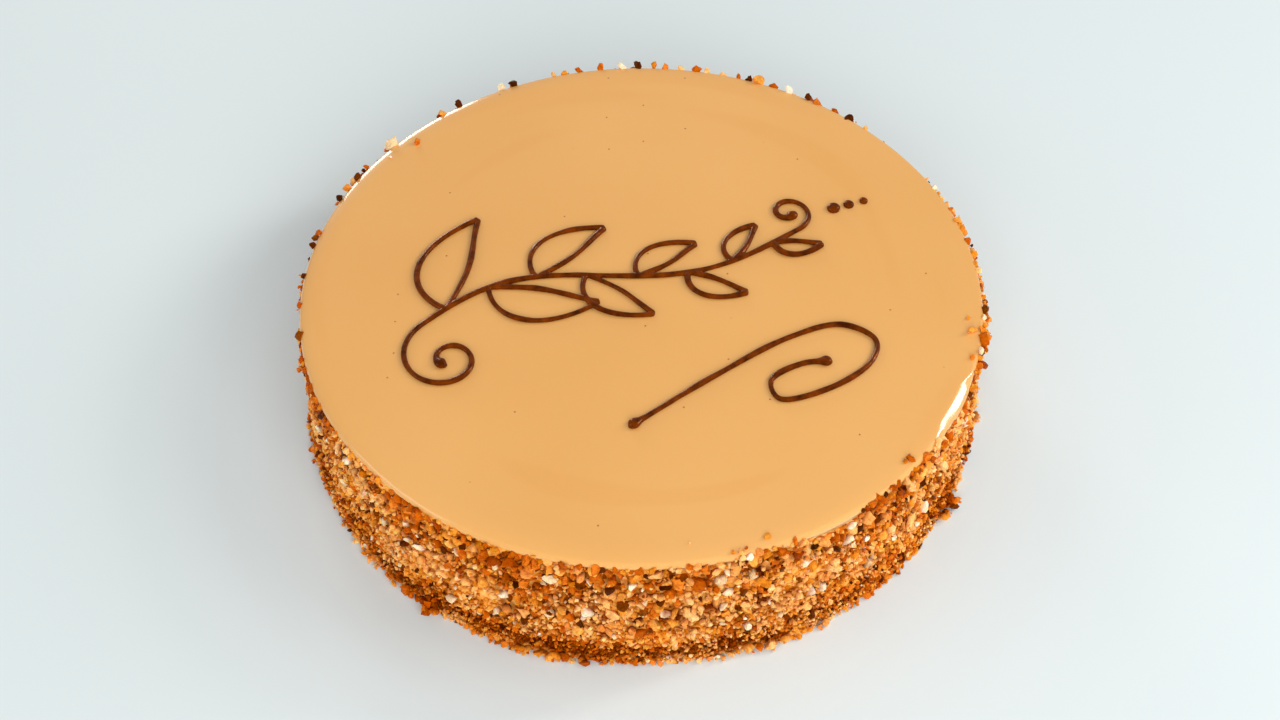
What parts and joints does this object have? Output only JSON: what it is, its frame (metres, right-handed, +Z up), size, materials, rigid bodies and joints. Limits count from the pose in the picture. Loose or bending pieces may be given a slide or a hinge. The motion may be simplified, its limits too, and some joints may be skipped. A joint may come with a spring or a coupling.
{
  "type": "coffee buttercream cake",
  "caption": "Round uncut coffee buttercream cake with a smooth iced top, a chopped roasted nut coat round the side and a piped chocolate leaf sprig and swash.",
  "frame": {"origin": "middle of the flat base, on the surface the cake stands on", "axes": "+Z up through the middle of the cake; seen from -Y the piped swash lies right of the middle, in front of the sprig"},
  "size_m": [0.2081, 0.207, 0.047],
  "materials": {
    "nut_coat": "matte",
    "coffee_icing": "satin",
    "chocolate": "satin"
  },
  "bodies": {
    "root": {"cake": "nut_coat", "coffee_icing": "coffee_icing", "piped_sprig": "chocolate", "piped_swash": "chocolate", "piped_drop_1": "chocolate", "piped_drop_2": "chocolate", "piped_drop_3": "chocolate"}
  },
  "joints": []
}
